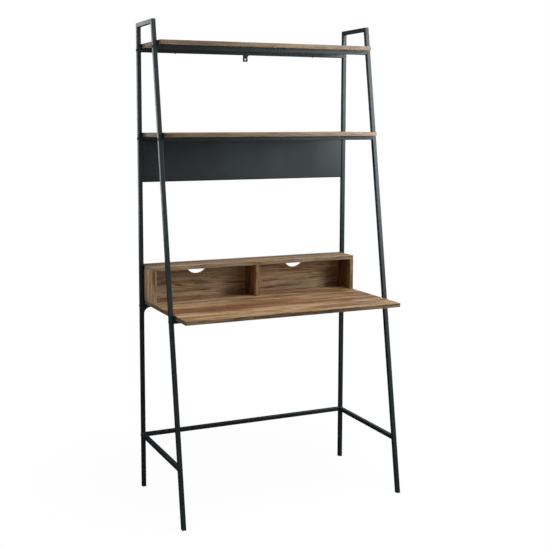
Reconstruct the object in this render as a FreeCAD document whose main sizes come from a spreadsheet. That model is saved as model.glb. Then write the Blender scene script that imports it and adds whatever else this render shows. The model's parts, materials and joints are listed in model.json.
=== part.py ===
"""Ladder desk: two sloping steel side frames that carry three boards, a low hutch and a back panel.

Frame of the part: +Z up, the floor at z = 0, the front towards -Y, +X to the right of a
person who sits at the desk, and the origin in the middle of the footprint. Millimetres.

Every length is either a cell of the "sizes" sheet or a formula on those cells, so a changed
cell moves all that fits, seats on or lines up with it.
"""
import FreeCAD, Part
import math
import os
import Sketcher

# ---------------------------------------------------------------------------- driving sizes

SIZES = {
    # side frames
    "overall_width": 914.0,
    "overall_height": 1829.0,
    "foot_depth": 478.0,
    "head_depth": 191.0,
    "stretcher_height": 213.0,
    # square steel tube
    "tube_size": 16.0,
    "tube_wall": 1.2,
    "tube_corner": 1.8,
    # sleeves that join the upper and lower halves of a leg
    "sleeve_above": 45.0,
    "sleeve_below": 35.0,
    "sleeve_wall": 1.5,
    "sleeve_play": 0.2,
    # plastic plugs in the feet
    "foot_flange": 3.0,
    "foot_insert": 18.0,
    "foot_chamfer": 0.8,
    # boards
    "board_thickness": 15.0,
    "board_rounding": 0.8,
    "board_play": 0.3,
    "desk_height": 760.0,
    "desk_depth": 482.0,
    "shelf_pitch": 337.0,
    "middle_shelf_depth": 293.0,
    "top_shelf_drop": 78.5,
    "top_shelf_depth": 240.0,
    # plates on the ends of the board rails
    "plate_thickness": 1.5,
    "plate_front_reach": 14.0,
    "plate_rear_reach": 7.0,
    # webs under the back of the desk
    "gusset_leg": 26.0,
    "gusset_land": 2.0,
    "gusset_thickness": 3.0,
    # folded sheet panel under the middle shelf
    "panel_height": 160.8,
    "panel_front_set_back": 1.0,
    "panel_rear_set_back": 1.0,
    "panel_sheet": 1.2,
    "panel_bend": 4.0,
    "panel_side_play": 0.8,
    # hutch on the desk
    "hutch_height": 141.0,
    "hutch_depth": 122.0,
    "cable_notch_radius": 52.0,
    "cable_notch_rise": 17.0,
    "cable_notch_offset": 217.0,
    # tab for the wall strap
    "tab_width": 20.0,
    "tab_drop": 25.5,
    "tab_thickness": 2.5,
    "tab_corner": 4.0,
    "tab_web": 9.0,
    "tab_hole_radius": 3.5,
    "tab_hole_rise": 9.5,
    # frame bolts and the threaded plugs that take them
    "bolt_radius": 3.0,
    "bolt_length": 27.0,
    "bolt_head_radius": 5.5,
    "bolt_head_height": 2.8,
    "bolt_play": 0.3,
    "thread_play": 0.05,
    "nut_thickness": 8.0,
    # screws up through the rails into the boards
    "screw_radius": 2.0,
    "screw_head_radius": 4.0,
    "screw_head_height": 2.0,
    "screw_bite": 11.0,
    "screw_spread": 300.0,
    # screws that hold the panel to the rear legs
    "panel_screw_length": 7.0,
    "panel_screw_inset": 30.0,
    # dowels and screws of the hutch
    "dowel_radius": 4.0,
    "dowel_in_top": 10.0,
    "dowel_in_side": 20.0,
    "dowel_inset": 30.0,
    "back_dowel_radius": 3.0,
    "back_dowel_depth": 11.0,
    "back_dowel_inset": 32.0,
    "hutch_screw_bite": 24.0,
    "hutch_screw_sink": 2.4,
    "hole_play": 0.3,
}

# ---------------------------------------------------------------------------- formulas on them

TUBE = "sizes.tube_size"
WALL = "sizes.tube_wall"
BOARD = "sizes.board_thickness"
TOP = "sizes.overall_height"
FOOT = "sizes.foot_flange"
HALF_WIDTH = "(sizes.overall_width / 2)"
REAR = "(sizes.desk_depth / 2)"
SLOPE = "((sizes.foot_depth - sizes.head_depth) / sizes.overall_height)"
SLANT = f"sqrt(1 + {SLOPE} * {SLOPE})"
LEG_INNER = f"({HALF_WIDTH} - {TUBE})"
RAIL_HALF = f"({LEG_INNER} - sizes.plate_thickness)"
BOARD_HALF = f"({RAIL_HALF} - sizes.board_play)"
SEAM = f"(sizes.desk_height - {BOARD})"
REAR_RAIL = f"({REAR} - {TUBE} / 2)"
SLEEVE_INSET = f"({WALL} + sizes.sleeve_play)"
BOLT_HOLE = "(sizes.bolt_radius + sizes.bolt_play)"
SCREW_HOLE = "(sizes.screw_radius + sizes.thread_play)"
TOP_SHELF = f"({TOP} - sizes.top_shelf_drop)"
MIDDLE_SHELF = f"({TOP_SHELF} - sizes.shelf_pitch)"
BOARD_TOPS = {"top_shelf": TOP_SHELF, "middle_shelf": MIDDLE_SHELF, "desk": "sizes.desk_height"}
PANEL_TOP = f"({MIDDLE_SHELF} - {BOARD} - {TUBE})"
PANEL_BOTTOM = f"({PANEL_TOP} - sizes.panel_height)"
PANEL_HALF = f"({LEG_INNER} - sizes.panel_side_play)"
PANEL_FRONT = f"({REAR} - {TUBE} + sizes.panel_front_set_back)"
PANEL_REAR = f"({REAR} - sizes.panel_rear_set_back)"
PANEL_SCREW = f"(({PANEL_FRONT} + sizes.panel_bend + {PANEL_REAR}) / 2)"
HUTCH_UNDER = f"(sizes.desk_height + sizes.hutch_height - {BOARD})"
HUTCH_FRONT = f"({REAR} - sizes.hutch_depth)"
SIDE_MIDDLE = f"({BOARD_HALF} - {BOARD} / 2)"
HUTCH_INNER = f"({BOARD_HALF} - {BOARD})"
BACK_MIDDLE = f"({REAR} - {BOARD} / 2)"
BACK_DOWEL_LOW = "(sizes.desk_height + sizes.back_dowel_inset)"
BACK_DOWEL_HIGH = f"({HUTCH_UNDER} - sizes.back_dowel_inset)"
DOWEL_REAR = f"({REAR} - sizes.dowel_inset)"
DOWEL_FRONT = f"({HUTCH_FRONT} + sizes.dowel_inset)"

HUTCH_COLUMNS = (f"-{SIDE_MIDDLE}", "0", SIDE_MIDDLE)

SIDES = {"left": "-1", "right": "1"}
FASTENER_CORNERS = range(8)
HEAD_CORNERS = range(16)
SMALLEST_CUT = 0.5
CLOSE = 1e-5


def front_face(level):
    """Depth position of the sloping legs' front face at a height."""
    return f"({REAR} - sizes.foot_depth + {SLOPE} * ({level}))"


def rail_height(level):
    """Height of the centre line of the rails under a board."""
    return f"({BOARD_TOPS[level]} - {BOARD} - {TUBE} / 2)"


def front_rail(level):
    """Depth position of the centre line of the front rail under a board."""
    return f"({front_face(rail_height(level))} + {TUBE} / 2)"


# ---------------------------------------------------------------------------- document

document = FreeCAD.newDocument("ladder_desk")
sheet = document.addObject("Spreadsheet::Sheet", "sizes")
for row, (alias, value) in enumerate(SIZES.items(), start=1):
    sheet.set(f"A{row}", alias)
    sheet.set(f"B{row}", str(value))
    sheet.setAlias(f"B{row}", alias)
document.recompute()

sub_parts = []

# How a place (x, y, z) reads in the local axes (right, up, towards the viewer) of each plane.
LOCAL_AXES = {
    "XY_Plane": lambda x, y, z: (x, y, z),
    "XZ_Plane": lambda x, y, z: (x, z, f"-({y})"),
    "YZ_Plane": lambda x, y, z: (y, z, x),
}


def number(holder, formula):
    """Present value of a formula."""
    value = holder.evalExpression(formula)
    return float(getattr(value, "Value", value))


def new_body(label, side=None):
    """Body of one sub-part; one drawn as a side-frame piece is placed on its side of the desk."""
    body = document.addObject("PartDesign::Body", label)
    body.Label = label
    body.AllowCompound = True
    if side == "left":
        body.setExpression(".Placement.Base.x", f"-{HALF_WIDTH}")
    if side == "right":
        body.setExpression(".Placement.Base.x", LEG_INNER)
    sub_parts.append(body)
    return body


def datum(body, role):
    """Origin plane or axis of a body."""
    return next(item for item in body.Origin.OriginFeatures if item.Role == role)


def new_sketch(body, name, plane, at=("0", "0", "0")):
    """Sketch parallel to an origin plane, with its origin at a place of the body."""
    sketch = body.newObject("Sketcher::SketchObject", name)
    sketch.AttachmentSupport = (datum(body, plane), [""])
    sketch.MapMode = "FlatFace"
    for axis, formula in zip("xyz", LOCAL_AXES[plane](*at)):
        if formula != "0":
            sketch.setExpression(f".AttachmentOffset.Base.{axis}", formula)
    return sketch


def pin(sketch, curve, point, place):
    """Ties a point of a curve to the sketch's origin by formulas, across and up."""
    for kind, formula in zip(("DistanceX", "DistanceY"), place):
        value = number(sketch, formula)
        index = sketch.addConstraint(Sketcher.Constraint(kind, -1, 1, curve, point, value))
        sketch.setExpression(f"Constraints[{index}]", formula)


def add_outline(sketch, corners):
    """Closed outline. A corner is (across, up), or (across, up, centre) where an arc follows it."""
    places = []
    for corner in corners:
        places.append(FreeCAD.Vector(number(sketch, corner[0]), number(sketch, corner[1]), 0))
    edges = []
    for index, corner in enumerate(corners):
        start = places[index]
        end = places[(index + 1) % len(corners)]
        if len(corner) == 2:
            curve = sketch.addGeometry(Part.LineSegment(start, end), False)
            edges.append((curve, 1, 2))
            continue
        centre = FreeCAD.Vector(number(sketch, corner[2][0]), number(sketch, corner[2][1]), 0)
        circle = Part.Circle(centre, FreeCAD.Vector(0, 0, 1), start.distanceToPoint(centre))
        angles = [math.atan2(spot.y - centre.y, spot.x - centre.x) for spot in (start, end)]
        turns_left = (start - centre).cross(end - centre).z > 0
        if not turns_left:
            angles.reverse()
        curve = sketch.addGeometry(Part.ArcOfCircle(circle, angles[0], angles[1]), False)
        edges.append((curve, 1, 2) if turns_left else (curve, 2, 1))
    for index, (curve, start_point, end_point) in enumerate(edges):
        next_curve, next_start, _ = edges[(index + 1) % len(edges)]
        sketch.addConstraint(Sketcher.Constraint("Coincident", curve, end_point, next_curve, next_start))
        pin(sketch, curve, start_point, corners[index][:2])
        if len(corners[index]) > 2:
            formula = corners[index][2][0]
            value = number(sketch, formula)
            tie = sketch.addConstraint(Sketcher.Constraint("DistanceX", -1, 1, curve, 3, value))
            sketch.setExpression(f"Constraints[{tie}]", formula)


def add_circle(sketch, centre, radius):
    """Circle pinned at its centre."""
    middle = FreeCAD.Vector(number(sketch, centre[0]), number(sketch, centre[1]), 0)
    circle = Part.Circle(middle, FreeCAD.Vector(0, 0, 1), number(sketch, radius))
    curve = sketch.addGeometry(circle, False)
    pin(sketch, curve, 3, centre)
    index = sketch.addConstraint(Sketcher.Constraint("Radius", curve, circle.Radius))
    sketch.setExpression(f"Constraints[{index}]", radius)


def add_ring(sketch, centre, radius, corners=FASTENER_CORNERS):
    """Regular polygon about a centre; it stands for the round of a fastener with few faces."""
    outline = []
    for count in corners:
        angle = 2 * math.pi * (count + 0.5) / len(corners)
        across = f"{centre[0]} + {radius} * ({math.cos(angle):.9f})"
        up = f"{centre[1]} + {radius} * ({math.sin(angle):.9f})"
        outline.append((across, up))
    add_outline(sketch, outline)


def rectangle(low_across, high_across, low_up, high_up):
    return [
        (low_across, low_up),
        (high_across, low_up),
        (high_across, high_up),
        (low_across, high_up),
    ]


def square(across, up, half):
    """Corners of a square about a centre."""
    return rectangle(f"{across} - {half}", f"{across} + {half}", f"{up} - {half}", f"{up} + {half}")


def raise_pad(body, sketch, length):
    """Pad of a sketch, towards the sketch's viewer."""
    pad = body.newObject("PartDesign::Pad", f"{sketch.Name}_pad")
    pad.Profile = sketch
    pad.setExpression("Length", length)
    body.Tip = pad
    document.recompute()
    return pad


def cut(body, sketch, depth=None, reverse=False):
    """Pocket of a sketch, away from the sketch's viewer; with no depth it goes right through."""
    volume = body.Shape.Volume
    pocket = body.newObject("PartDesign::Pocket", f"{sketch.Name}_cut")
    pocket.Profile = sketch
    pocket.Reversed = reverse
    if depth is None:
        pocket.Type = "ThroughAll"
    else:
        pocket.setExpression("Length", depth)
    body.Tip = pocket
    document.recompute()
    if body.Shape.Volume > volume - SMALLEST_CUT:
        raise ValueError(f"{body.Label}: {sketch.Name} cuts nothing")


def drill(body, name, plane, at, spots, radius, depth=None, reverse=False):
    """Fastener holes of one radius, at spots in the plane."""
    sketch = new_sketch(body, name, plane, at)
    for spot in spots:
        add_ring(sketch, spot, radius)
    cut(body, sketch, depth, reverse)


def add_rod(body, name, plane, at, centre, radius, length, corners=FASTENER_CORNERS):
    """Shank or head of a fastener, from a plane towards its viewer."""
    sketch = new_sketch(body, name, plane, at)
    add_ring(sketch, centre, radius, corners)
    raise_pad(body, sketch, length)


def round_edges(body, radius, chosen):
    """Fillet along the chosen edges of what the body is so far."""
    base = body.Tip
    names = [f"Edge{count}" for count, edge in enumerate(base.Shape.Edges, start=1) if chosen(edge)]
    fillet = body.newObject("PartDesign::Fillet", "rounding")
    fillet.Base = (base, names)
    fillet.setExpression("Radius", radius)
    body.Tip = fillet
    document.recompute()


def repeat_along(body, axis, distance, copies=2):
    """Copies of the whole body, spread evenly over a distance along an origin axis."""
    pattern = body.newObject("PartDesign::LinearPattern", "row")
    pattern.TransformMode = "Whole shape"
    pattern.Direction = (datum(body, axis), [""])
    pattern.setExpression("Length", distance)
    pattern.Occurrences = copies
    body.Tip = pattern
    document.recompute()


def repeat_other_side(body):
    """Mirror image of the whole body on the other side of the desk."""
    mirror = body.newObject("PartDesign::Mirrored", "other_side")
    mirror.TransformMode = "Whole shape"
    mirror.MirrorPlane = (datum(body, "YZ_Plane"), [""])
    body.Tip = mirror
    document.recompute()


# ---------------------------------------------------------------------------- side frames

def sloping_band(low, high_front, high_back, margin="0"):
    """Side view of a front leg between two heights, a margin inside its surface."""
    near = f"({margin}) * {SLANT}"
    far = f"({TUBE} - ({margin})) * {SLANT}"
    return [
        (f"{front_face(low)} + {near}", low),
        (f"{front_face(low)} + {far}", low),
        (f"{front_face(high_back)} + {far}", high_back),
        (f"{front_face(high_front)} + {near}", high_front),
    ]


def upright_band(low, high_front, high_back, margin="0"):
    """Side view of a rear leg between two heights, a margin inside its surface."""
    return [
        (f"{REAR} - {TUBE} + ({margin})", low),
        (f"{REAR} - ({margin})", low),
        (f"{REAR} - ({margin})", high_back),
        (f"{REAR} - {TUBE} + ({margin})", high_front),
    ]


def top_bar_band(margin):
    """Side view of the bar over a side frame, mitred into both legs."""
    high = f"{TOP} - ({margin})"
    low = f"{TOP} - {TUBE} + ({margin})"
    return [
        (f"{front_face(high)} + ({margin}) * {SLANT}", high),
        (f"{front_face(low)} + ({TUBE} - ({margin})) * {SLANT}", low),
        (f"{REAR} - {TUBE} + ({margin})", low),
        (f"{REAR} - ({margin})", high),
    ]


def stretcher_band(margin):
    """Side view of the low bar between the legs, coped to the slope of the front leg."""
    low = f"sizes.stretcher_height - {TUBE} / 2 + ({margin})"
    high = f"sizes.stretcher_height + {TUBE} / 2 - ({margin})"
    return [
        (f"{front_face(low)} + {TUBE} * {SLANT}", low),
        (f"{REAR} - {TUBE}", low),
        (f"{REAR} - {TUBE}", high),
        (f"{front_face(high)} + {TUBE} * {SLANT}", high),
    ]


def upper_front_band(margin):
    return sloping_band(SEAM, f"{TOP} - ({margin})", f"{TOP} - {TUBE} + ({margin})", margin)


def upper_rear_band(margin):
    return upright_band(SEAM, f"{TOP} - {TUBE} + ({margin})", f"{TOP} - ({margin})", margin)


def lower_front_band(margin):
    return sloping_band(FOOT, SEAM, SEAM, margin)


def lower_rear_band(margin):
    return upright_band(FOOT, SEAM, SEAM, margin)


def sleeve_band(band):
    """Side view of a sleeve that fits inside the given leg across its seam."""
    low = f"{SEAM} - sizes.sleeve_below"
    high = f"{SEAM} + sizes.sleeve_above"
    return lambda margin: band(low, high, high, f"{SLEEVE_INSET} + {margin}")


def frame_tube(label, side, band, inset="0", wall=WALL, rounded=True):
    """Square tube of a side frame: its side view padded across, then cored from within."""
    body = new_body(label, side)
    outer = new_sketch(body, "side_view", "YZ_Plane", (inset, "0", "0"))
    add_outline(outer, band("0"))
    raise_pad(body, outer, f"{TUBE} - 2 * ({inset})")
    if rounded:
        longest = 3 * number(sheet, TUBE)
        round_edges(body, "sizes.tube_corner", lambda edge: edge.Length > longest)
    core = new_sketch(body, "core", "YZ_Plane", (f"{TUBE} - ({inset}) - {wall}", "0", "0"))
    add_outline(core, band(wall))
    cut(body, core, f"{TUBE} - 2 * ({inset}) - 2 * {wall}")
    return body


def bolt_holes(body, spots):
    """Clearance holes for frame bolts, right through a leg or sleeve."""
    drill(body, "bolt_holes", "YZ_Plane", (TUBE, "0", "0"), spots, BOLT_HOLE)


def foot_plug(label, side, band):
    """Plastic foot: a flange the size of the leg's end and a plug inside the tube."""
    body = new_body(label, side)
    flange = new_sketch(body, "flange", "YZ_Plane")
    add_outline(flange, band("0", FOOT, FOOT, "0"))
    raise_pad(body, flange, TUBE)
    insert = new_sketch(body, "insert", "YZ_Plane", (SLEEVE_INSET, "0", "0"))
    insert_top = f"{FOOT} + sizes.foot_insert"
    add_outline(insert, band(FOOT, insert_top, insert_top, SLEEVE_INSET))
    raise_pad(body, insert, f"{TUBE} - 2 * {SLEEVE_INSET}")
    base = body.Tip
    names = []
    for count, edge in enumerate(base.Shape.Edges, start=1):
        if edge.BoundBox.ZMax < CLOSE:
            names.append(f"Edge{count}")
    chamfer = body.newObject("PartDesign::Chamfer", "foot_edge")
    chamfer.Base = (base, names)
    chamfer.setExpression("Size", "sizes.foot_chamfer")
    body.Tip = chamfer
    document.recompute()


def side_frame(side):
    """One ladder-shaped side: four leg halves, a top bar, a stretcher, sleeves and foot plugs."""
    upper_levels = ("top_shelf", "middle_shelf")
    desk_rear = (REAR_RAIL, rail_height("desk"))
    desk_front = (front_rail("desk"), rail_height("desk"))

    upper_rear = frame_tube(f"upper_rear_leg_{side}", side, upper_rear_band)
    bolt_holes(upper_rear, [(REAR_RAIL, rail_height(level)) for level in upper_levels])
    inner_wall = TUBE if side == "left" else f"2 * {WALL}"
    panel_spots = [(PANEL_SCREW, height) for height in panel_screw_heights()]
    drill(upper_rear, "panel_screw_holes", "YZ_Plane", (inner_wall, "0", "0"), panel_spots,
          SCREW_HOLE, f"2 * {WALL}")

    upper_front = frame_tube(f"upper_front_leg_{side}", side, upper_front_band)
    bolt_holes(upper_front, [(front_rail(level), rail_height(level)) for level in upper_levels])

    lower_rear = frame_tube(f"lower_rear_leg_{side}", side, lower_rear_band)
    bolt_holes(lower_rear, [desk_rear, (REAR_RAIL, "sizes.stretcher_height")])

    lower_front = frame_tube(f"lower_front_leg_{side}", side, lower_front_band)
    bolt_holes(lower_front, [desk_front])

    frame_tube(f"top_bar_{side}", side, top_bar_band)
    frame_tube(f"side_stretcher_{side}", side, stretcher_band)

    sleeve_wall = "sizes.sleeve_wall"
    rear_sleeve = frame_tube(f"rear_leg_sleeve_{side}", side, sleeve_band(upright_band),
                             SLEEVE_INSET, sleeve_wall, rounded=False)
    bolt_holes(rear_sleeve, [desk_rear])
    front_sleeve = frame_tube(f"front_leg_sleeve_{side}", side, sleeve_band(sloping_band),
                              SLEEVE_INSET, sleeve_wall, rounded=False)
    bolt_holes(front_sleeve, [desk_front])

    foot_plug(f"rear_foot_plug_{side}", side, upright_band)
    foot_plug(f"front_foot_plug_{side}", side, sloping_band)


def panel_screw_heights():
    inset = "sizes.panel_screw_inset"
    return (f"{PANEL_BOTTOM} + {inset}", f"{PANEL_TOP} - {inset}")


# ---------------------------------------------------------------------------- rails and boards

def rail(label, depth, height, half_length, screwed=True):
    """Square tube across the desk, between the side frames."""
    body = new_body(label)
    outer = new_sketch(body, "section", "YZ_Plane", (f"-{half_length}", "0", "0"))
    add_outline(outer, square(depth, height, f"{TUBE} / 2"))
    raise_pad(body, outer, f"2 * {half_length}")
    longest = 3 * number(sheet, TUBE)
    round_edges(body, "sizes.tube_corner", lambda edge: edge.Length > longest)
    core = new_sketch(body, "core", "YZ_Plane", (half_length, "0", "0"))
    add_outline(core, square(depth, height, f"({TUBE} / 2 - {WALL})"))
    cut(body, core)
    if screwed:
        spots = [("-sizes.screw_spread", depth), ("sizes.screw_spread", depth)]
        top = f"{height} + {TUBE} / 2"
        drill(body, "screw_holes", "XY_Plane", ("0", "0", top), spots, SCREW_HOLE)


def end_plate_outline(middle, level, reach):
    """End plate: as deep as its rail beside the rail, and longer to the front beside the board."""
    front = f"{middle} - {TUBE} / 2"
    rear = f"{middle} + {TUBE} / 2"
    low = f"{BOARD_TOPS[level]} - {BOARD} - {TUBE}"
    step = f"{BOARD_TOPS[level]} - {BOARD}"
    return [
        (front, low),
        (rear, low),
        (rear, BOARD_TOPS[level]),
        (f"{front} - {reach}", BOARD_TOPS[level]),
        (f"{front} - {reach}", step),
        (front, step),
    ]


def end_plates(level):
    """Steel plates welded to the ends of the two rails; they stop the board's ends."""
    body = new_body(f"{level}_end_plates")
    sketch = new_sketch(body, "plates", "YZ_Plane", (f"-{LEG_INNER}", "0", "0"))
    reaches = {front_rail(level): "sizes.plate_front_reach", REAR_RAIL: "sizes.plate_rear_reach"}
    for middle, reach in reaches.items():
        add_outline(sketch, end_plate_outline(middle, level, reach))
        add_ring(sketch, (middle, rail_height(level)), BOLT_HOLE)
    raise_pad(body, sketch, "sizes.plate_thickness")
    repeat_other_side(body)


def rail_nuts(label, start, spots):
    """Threaded square plugs inside the ends of rails; start is the rail's half length."""
    body = new_body(label)
    sketch = new_sketch(body, "nuts", "YZ_Plane", (f"-{start}", "0", "0"))
    for depth, height in spots:
        add_outline(sketch, square(depth, height, f"({TUBE} / 2 - {WALL} - sizes.thread_play)"))
        add_ring(sketch, (depth, height), "(sizes.bolt_radius + sizes.thread_play)")
    raise_pad(body, sketch, "sizes.nut_thickness")
    repeat_other_side(body)


def frame_bolts(label, depth, height, row_length=None):
    """Low-head bolts from the outer faces of the legs into the plugs of the rails."""
    body = new_body(label)
    head_at = (f"-({HALF_WIDTH} + sizes.bolt_head_height)", "0", "0")
    add_rod(body, "head", "YZ_Plane", head_at, (depth, height), "sizes.bolt_head_radius",
            "sizes.bolt_head_height", HEAD_CORNERS)
    add_rod(body, "shank", "YZ_Plane", (f"-{HALF_WIDTH}", "0", "0"), (depth, height),
            "sizes.bolt_radius", "sizes.bolt_length")
    if row_length is not None:
        repeat_along(body, "Y_Axis", row_length)
    repeat_other_side(body)


def upward_screw(body, centre, seat, length):
    """Flat-headed screw that points up; its head hangs below the height of its seat."""
    add_rod(body, "head", "XY_Plane", ("0", "0", f"{seat} - sizes.screw_head_height"), centre,
            "sizes.screw_head_radius", "sizes.screw_head_height")
    add_rod(body, "shank", "XY_Plane", ("0", "0", seat), centre, "sizes.screw_radius", length)


def board_screws(level):
    """Screws up through both rails into a board."""
    body = new_body(f"{level}_screws")
    under = f"{rail_height(level)} - {TUBE} / 2"
    centre = ("-sizes.screw_spread", front_rail(level))
    upward_screw(body, centre, under, f"{TUBE} + sizes.screw_bite")
    repeat_along(body, "Y_Axis", f"{REAR_RAIL} - {front_rail(level)}")
    repeat_other_side(body)


def slab(label, across, deep, low, height):
    """Laminated board: across and deep are (low, high) pairs; its front arrises are eased."""
    body = new_body(label)
    sketch = new_sketch(body, "plan", "XY_Plane", ("0", "0", low))
    add_outline(sketch, rectangle(across[0], across[1], deep[0], deep[1]))
    raise_pad(body, sketch, height)
    front = number(sheet, deep[0])
    round_edges(body, "sizes.board_rounding", lambda edge: edge.BoundBox.YMax < front + CLOSE)
    return body


def level_board(level):
    """Board of one level, with blind holes for its screws."""
    deep = (f"{REAR} - sizes.{level}_depth", REAR)
    low = f"{BOARD_TOPS[level]} - {BOARD}"
    body = slab(f"{level}_board", (f"-{BOARD_HALF}", BOARD_HALF), deep, low, BOARD)
    spots = []
    for across in ("-sizes.screw_spread", "sizes.screw_spread"):
        spots.append((across, front_rail(level)))
        spots.append((across, REAR_RAIL))
    depth = "sizes.screw_bite + sizes.hole_play"
    drill(body, "screw_holes", "XY_Plane", ("0", "0", low), spots, SCREW_HOLE, depth, reverse=True)
    return body


def shelf_level(level):
    """Board, two rails with end plates, bolts, plugs and screws at one level."""
    height = rail_height(level)
    rail(f"{level}_front_rail", front_rail(level), height, RAIL_HALF)
    rail(f"{level}_rear_rail", REAR_RAIL, height, RAIL_HALF)
    end_plates(level)
    rail_nuts(f"{level}_rail_nuts", RAIL_HALF, [(front_rail(level), height), (REAR_RAIL, height)])
    row = f"{REAR_RAIL} - {front_rail(level)}"
    frame_bolts(f"{level}_bolts", front_rail(level), height, row)
    board_screws(level)
    return level_board(level)


def gusset(side, sign):
    """Web with a concave edge in the corner of a rear leg and the desk's rear rail."""
    body = new_body(f"desk_gusset_{side}")
    top = f"({rail_height('desk')} - {TUBE} / 2)"
    leg = "sizes.gusset_leg"
    land = "sizes.gusset_land"

    def across(distance):
        return f"{sign} * ({LEG_INNER} - ({distance}))"

    corners = [
        (across("0"), top),
        (across(leg), top),
        (across(leg), f"{top} - {land}", (across(leg), f"{top} - {leg}")),
        (across(land), f"{top} - {leg}"),
        (across("0"), f"{top} - {leg}"),
    ]
    middle = f"{REAR_RAIL} + sizes.gusset_thickness / 2"
    sketch = new_sketch(body, "web", "XZ_Plane", ("0", middle, "0"))
    add_outline(sketch, corners)
    raise_pad(body, sketch, "sizes.gusset_thickness")


def cross_bar():
    """Low bar between the rear legs, with its bolts and threaded plugs."""
    height = "sizes.stretcher_height"
    rail("rear_cross_bar", REAR_RAIL, height, LEG_INNER, screwed=False)
    rail_nuts("cross_bar_nuts", LEG_INNER, [(REAR_RAIL, height)])
    frame_bolts("cross_bar_bolts", REAR_RAIL, height)


# ---------------------------------------------------------------------------- back panel

def back_panel():
    """Shallow tray of folded sheet, open to the rear, under the middle shelf."""
    body = new_body("back_panel")
    sketch = new_sketch(body, "face", "XZ_Plane", ("0", PANEL_REAR, "0"))
    add_outline(sketch, rectangle(f"-{PANEL_HALF}", PANEL_HALF, PANEL_BOTTOM, PANEL_TOP))
    raise_pad(body, sketch, f"{PANEL_REAR} - {PANEL_FRONT}")
    front = number(sheet, PANEL_FRONT)
    round_edges(body, "sizes.panel_bend", lambda edge: edge.BoundBox.YMax < front + CLOSE)
    base = body.Tip
    open_side = number(sheet, PANEL_REAR)
    names = []
    for count, face in enumerate(base.Shape.Faces, start=1):
        if face.BoundBox.YMin > open_side - CLOSE:
            names.append(f"Face{count}")
    shell = body.newObject("PartDesign::Thickness", "sheet")
    shell.Base = (base, names)
    shell.setExpression("Value", "sizes.panel_sheet")
    shell.Reversed = True
    body.Tip = shell
    document.recompute()
    spots = [(PANEL_SCREW, height) for height in panel_screw_heights()]
    drill(body, "screw_holes", "YZ_Plane", (LEG_INNER, "0", "0"), spots, SCREW_HOLE)
    head_spots = [("-sizes.screw_spread", REAR_RAIL), ("sizes.screw_spread", REAR_RAIL)]
    drill(body, "shelf_screw_ways", "XY_Plane", ("0", "0", PANEL_TOP), head_spots,
          "(sizes.screw_head_radius + sizes.hole_play)", "2 * sizes.panel_sheet")


def panel_screws():
    """Screws from inside the panel's side flanges into the rear legs."""
    body = new_body("back_panel_screws")
    low, high = panel_screw_heights()
    seat = f"-({PANEL_HALF} - sizes.panel_sheet)"
    centre = (PANEL_SCREW, low)
    add_rod(body, "head", "YZ_Plane", (seat, "0", "0"), centre, "sizes.screw_head_radius",
            "sizes.screw_head_height")
    add_rod(body, "shank", "YZ_Plane", (f"{seat} - sizes.panel_screw_length", "0", "0"), centre,
            "sizes.screw_radius", "sizes.panel_screw_length")
    repeat_along(body, "Z_Axis", f"({high}) - ({low})")
    repeat_other_side(body)


# ---------------------------------------------------------------------------- hutch

def hutch():
    """Low two-bay hutch that stands on the desk: top, two sides, divider and back."""
    rows = (DOWEL_FRONT, DOWEL_REAR)
    full_depth = (HUTCH_FRONT, REAR)
    upright = f"sizes.hutch_height - {BOARD}"
    bottom = "sizes.desk_height"
    dowel_hole = "(sizes.dowel_radius + sizes.thread_play)"
    back_spots = [(BACK_MIDDLE, BACK_DOWEL_LOW), (BACK_MIDDLE, BACK_DOWEL_HIGH)]
    back_hole = "(sizes.back_dowel_radius + sizes.thread_play)"
    back_depth = "sizes.back_dowel_depth + sizes.hole_play"

    top = slab("hutch_top", (f"-{BOARD_HALF}", BOARD_HALF), full_depth, HUTCH_UNDER, BOARD)
    spots = [(column, place) for column in HUTCH_COLUMNS for place in rows]
    drill(top, "dowel_holes", "XY_Plane", ("0", "0", HUTCH_UNDER), spots, dowel_hole,
          "sizes.dowel_in_top + sizes.hole_play", reverse=True)

    uprights = {
        "hutch_side_left": (f"-{BOARD_HALF}", f"-{HUTCH_INNER}", full_depth),
        "hutch_divider": (f"-{BOARD} / 2", f"{BOARD} / 2", (HUTCH_FRONT, f"{REAR} - {BOARD}")),
        "hutch_side_right": (HUTCH_INNER, BOARD_HALF, full_depth),
    }
    for column, (label, (low, high, deep)) in zip(HUTCH_COLUMNS, uprights.items()):
        body = slab(label, (low, high), deep, bottom, upright)
        spots = [(column, place) for place in rows]
        drill(body, "dowel_holes", "XY_Plane", ("0", "0", HUTCH_UNDER), spots, dowel_hole,
              "sizes.dowel_in_side + sizes.hole_play")
        drill(body, "screw_holes", "XY_Plane", ("0", "0", bottom), spots, SCREW_HOLE,
              "sizes.hutch_screw_bite + sizes.hole_play", reverse=True)
        if label != "hutch_divider":
            left = label == "hutch_side_left"
            inner_face = f"-{HUTCH_INNER}" if left else HUTCH_INNER
            drill(body, "back_dowel_holes", "YZ_Plane", (inner_face, "0", "0"), back_spots,
                  back_hole, back_depth, reverse=not left)

    back_deep = (f"{REAR} - {BOARD}", REAR)
    back = slab("hutch_back", (f"-{HUTCH_INNER}", HUTCH_INNER), back_deep, bottom, upright)
    notches = new_sketch(back, "cable_notches", "XZ_Plane", ("0", f"{REAR} - {BOARD}", "0"))
    notch_centre = f"{HUTCH_UNDER} + sizes.cable_notch_rise"
    for offset in ("-sizes.cable_notch_offset", "sizes.cable_notch_offset"):
        add_circle(notches, (offset, notch_centre), "sizes.cable_notch_radius")
    cut(back, notches)
    drill(back, "left_dowel_holes", "YZ_Plane", (f"-{HUTCH_INNER}", "0", "0"), back_spots,
          back_hole, back_depth, reverse=True)
    drill(back, "right_dowel_holes", "YZ_Plane", (HUTCH_INNER, "0", "0"), back_spots,
          back_hole, back_depth)


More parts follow.
